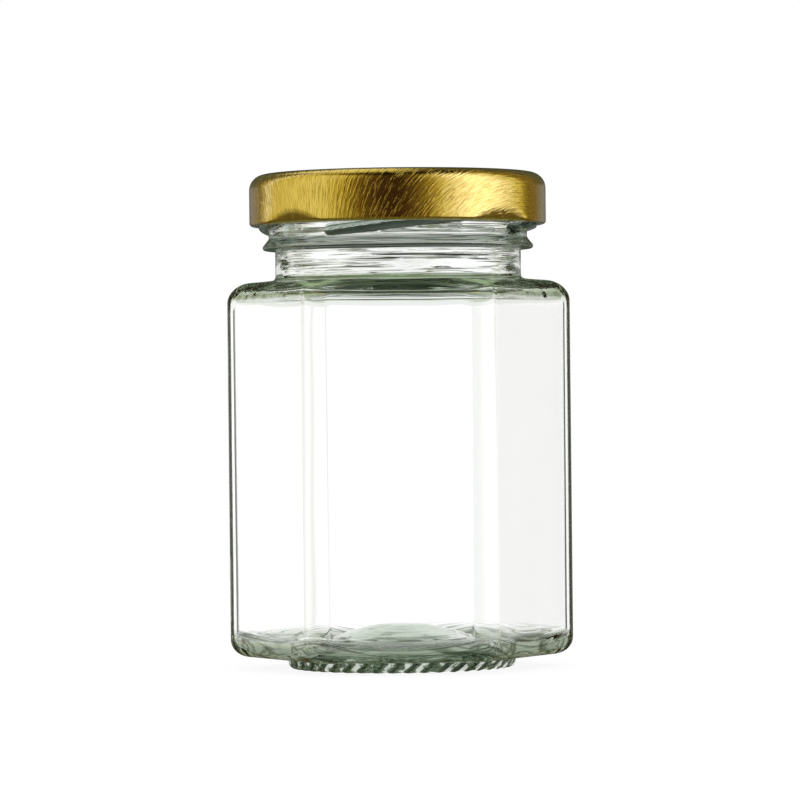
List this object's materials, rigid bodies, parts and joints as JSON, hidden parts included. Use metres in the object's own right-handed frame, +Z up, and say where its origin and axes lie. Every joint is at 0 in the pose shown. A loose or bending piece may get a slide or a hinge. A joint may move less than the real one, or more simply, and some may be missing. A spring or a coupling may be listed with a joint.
{
  "type": "hexagonal glass jar",
  "caption": "Empty hexagonal jar of clear glass with a round threaded neck and a shut gold-coloured metal twist-off lid, for storing preserves or honey.",
  "frame": {"origin": "middle of the jar's outline, on the surface that it stands on", "axes": "+Z up along the jar's axis; two opposite corners of the hexagon along X, two flat sides facing -Y and +Y"},
  "size_m": [0.07, 0.0622, 0.1008],
  "materials": {
    "clear_glass": "clear, very faintly green, polished",
    "gold_lacquer": "gold lacquer over brushed tinplate, glossy"
  },
  "bodies": {
    "root": {"glass_jar": "clear_glass", "twist_lid": "gold_lacquer"}
  },
  "joints": []
}
